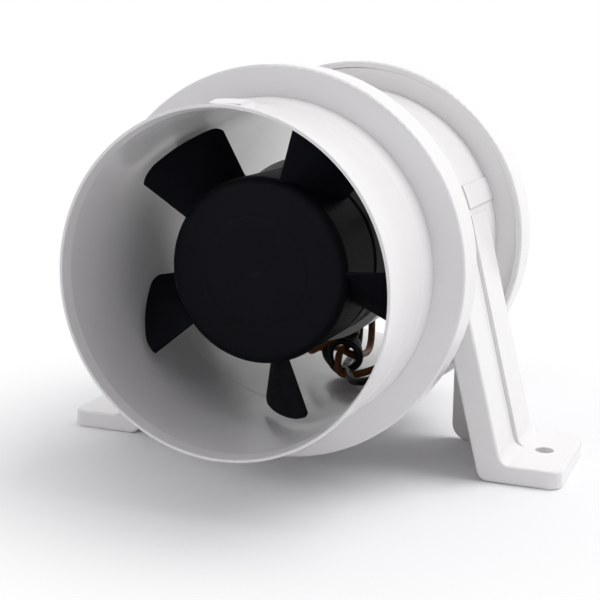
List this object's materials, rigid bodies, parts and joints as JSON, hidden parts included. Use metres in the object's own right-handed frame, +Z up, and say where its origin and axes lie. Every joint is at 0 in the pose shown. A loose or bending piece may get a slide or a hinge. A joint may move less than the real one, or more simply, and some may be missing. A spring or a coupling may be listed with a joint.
{
  "type": "inline duct fan",
  "caption": "In-line blower for a hose duct: axial impeller and brushed motor in a plastic housing with two hose spigots, standing on splayed legs with bolt-down feet",
  "frame": {"origin": "on the ground under the middle of the body", "axes": "+Z up, fan axis along Y with the inlet at -Y and the outlet at +Y, feet out to -X and +X"},
  "size_m": [0.175, 0.172, 0.1299],
  "materials": {
    "white_housing": "glossy moulded ABS, white",
    "black_impeller": "fine-grained moulded nylon, near black",
    "black_moulding": "satin moulded ABS, near black",
    "stainless_screw": "plain stainless",
    "seal_rubber": "matt rubber",
    "zinc_steel": "zinc plated",
    "ferrite": "sintered ferrite, dark grey",
    "bronze_bush": "sintered bronze",
    "brass_contact": "pressed brass",
    "capacitor_coat": "dipped coating, orange-brown",
    "carbon": "pressed carbon",
    "spring_steel": "bright steel",
    "lamination_steel": "stacked laminations",
    "enamelled_copper": "enamelled copper wire",
    "bare_copper": "bare copper",
    "black_insulation": "satin PVC insulation, black",
    "brown_insulation": "satin PVC insulation, brown"
  },
  "bodies": {
    "housing": {"black_lead": "black_insulation", "black_lead_end": "bare_copper", "black_lead_tail": "black_insulation", "brown_lead": "brown_insulation", "brown_lead_end": "bare_copper", "brown_lead_tail": "brown_insulation", "centre_body": "white_housing", "field_magnets": "ferrite", "front_bush": "bronze_bush", "inlet_duct": "white_housing", "lead_grommet": "seal_rubber", "lead_hank": "black_insulation", "lower_brush_holder": "brass_contact", "lower_brush_spring": "spring_steel", "motor_can": "zinc_steel", "motor_end_cap": "zinc_steel", "motor_pod": "black_moulding", "motor_screws": "stainless_screw", "noise_capacitor": "capacitor_coat", "outlet_duct": "white_housing", "outlet_screws": "stainless_screw", "pod_cover": "black_moulding", "pod_screws": "stainless_screw", "pod_seal": "seal_rubber", "rear_bush": "bronze_bush", "terminals": "brass_contact", "upper_brush_holder": "brass_contact", "upper_brush_spring": "spring_steel"},
    "rotor": {"impeller": "black_impeller", "impeller_insert": "brass_contact", "motor_shaft": "spring_steel", "armature_core": "lamination_steel", "armature_windings": "enamelled_copper", "commutator": "bare_copper", "thrust_washers": "spring_steel"},
    "upper_brush_block": {"upper_brush": "carbon"},
    "lower_brush_block": {"lower_brush": "carbon"}
  },
  "joints": [
    {"name": "fan_spin", "type": "hinge", "parent": "housing", "child": "rotor", "pos_m": [0, 0, 0.0689], "axis": [0, 1, 0], "continuous": true},
    {"name": "upper_brush_slide", "type": "slide", "parent": "housing", "child": "upper_brush_block", "axis": [0, 0, 1], "range_m": [0, 0.002], "stiffness_N_per_m": 100, "springref_m": -0.003, "deforming": ["upper_brush_spring"]},
    {"name": "lower_brush_slide", "type": "slide", "parent": "housing", "child": "lower_brush_block", "axis": [0, 0, -1], "range_m": [0, 0.002], "stiffness_N_per_m": 100, "springref_m": -0.003, "deforming": ["lower_brush_spring"]}
  ]
}
